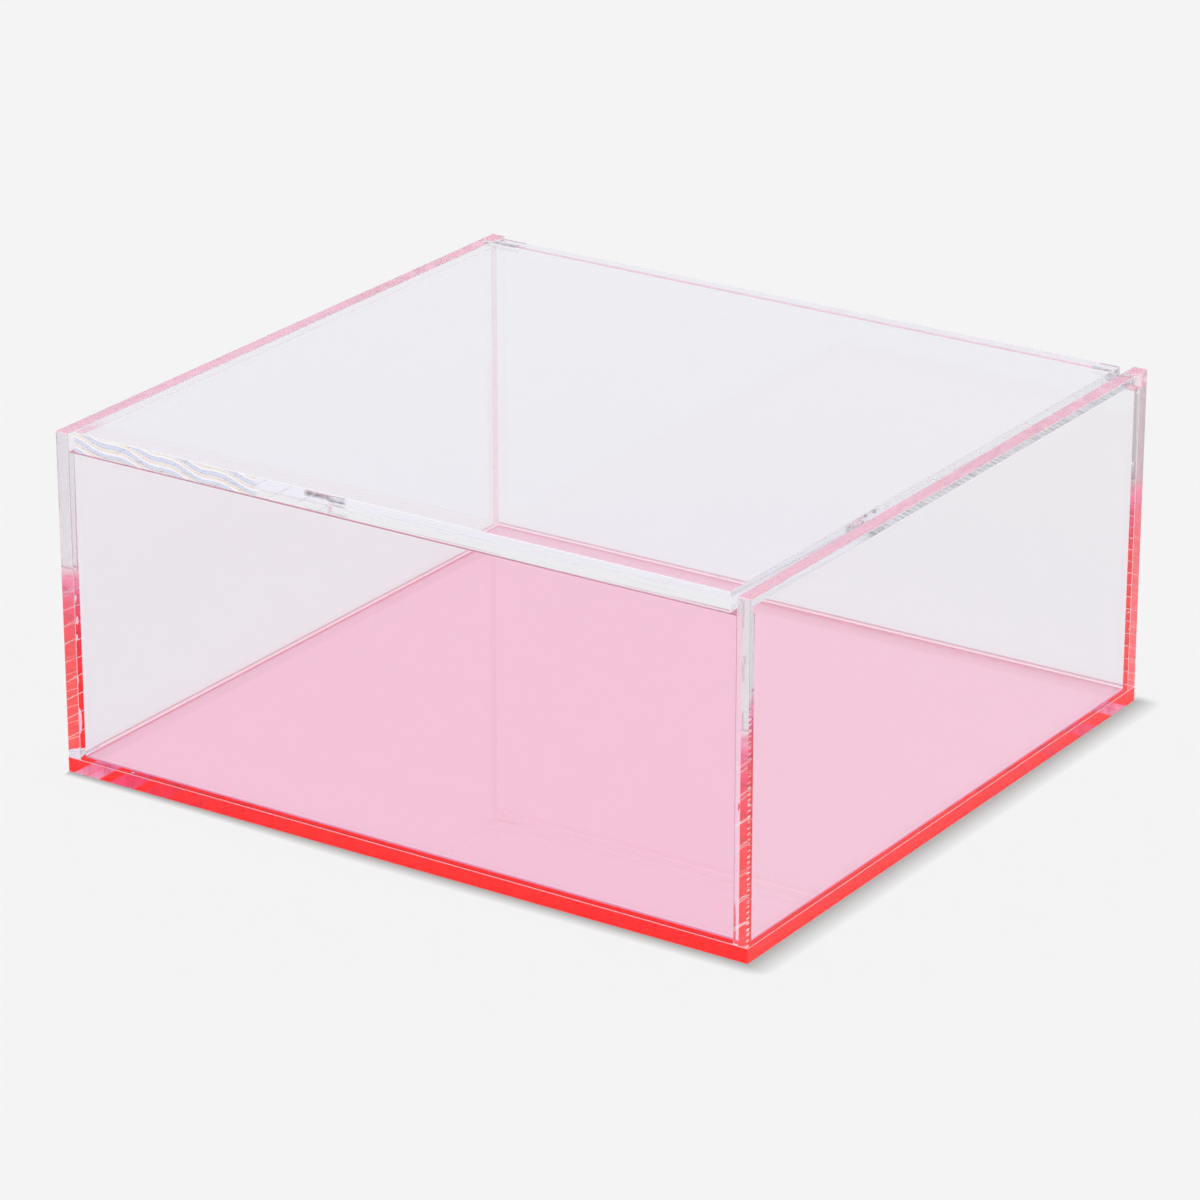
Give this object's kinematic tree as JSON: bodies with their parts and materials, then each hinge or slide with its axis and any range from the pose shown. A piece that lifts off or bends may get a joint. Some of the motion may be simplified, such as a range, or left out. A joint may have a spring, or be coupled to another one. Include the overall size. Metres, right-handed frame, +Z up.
{
  "type": "cosmetic organizer box",
  "caption": "Low rectangular clear acrylic box for cosmetics, with a fluorescent pink base and a thicker lid that folds back on pins at the rear.",
  "frame": {"origin": "middle of the base plate's underside, which is the face that the box stands on", "axes": "+Z up, +X to the right along the front, +Y to the rear, so the front panel faces -Y and the lid is hinged at +Y"},
  "size_m": [0.155, 0.145, 0.0706],
  "materials": {
    "clear_acrylic": "polished",
    "pink_acrylic": "polished",
    "pin_steel": "satin"
  },
  "bodies": {
    "box": {"base_plate": "pink_acrylic", "left_wall": "clear_acrylic", "right_wall": "clear_acrylic", "front_panel": "clear_acrylic", "rear_panel": "clear_acrylic", "left_hinge_pin": "pin_steel", "right_hinge_pin": "pin_steel"},
    "lid": {"lid": "clear_acrylic"}
  },
  "joints": [
    {"name": "lid_hinge", "type": "hinge", "parent": "box", "child": "lid", "pos_m": [0, 0.0679, 0.0686], "axis": [-1, 0, 0], "range_deg": [0, 180]}
  ]
}
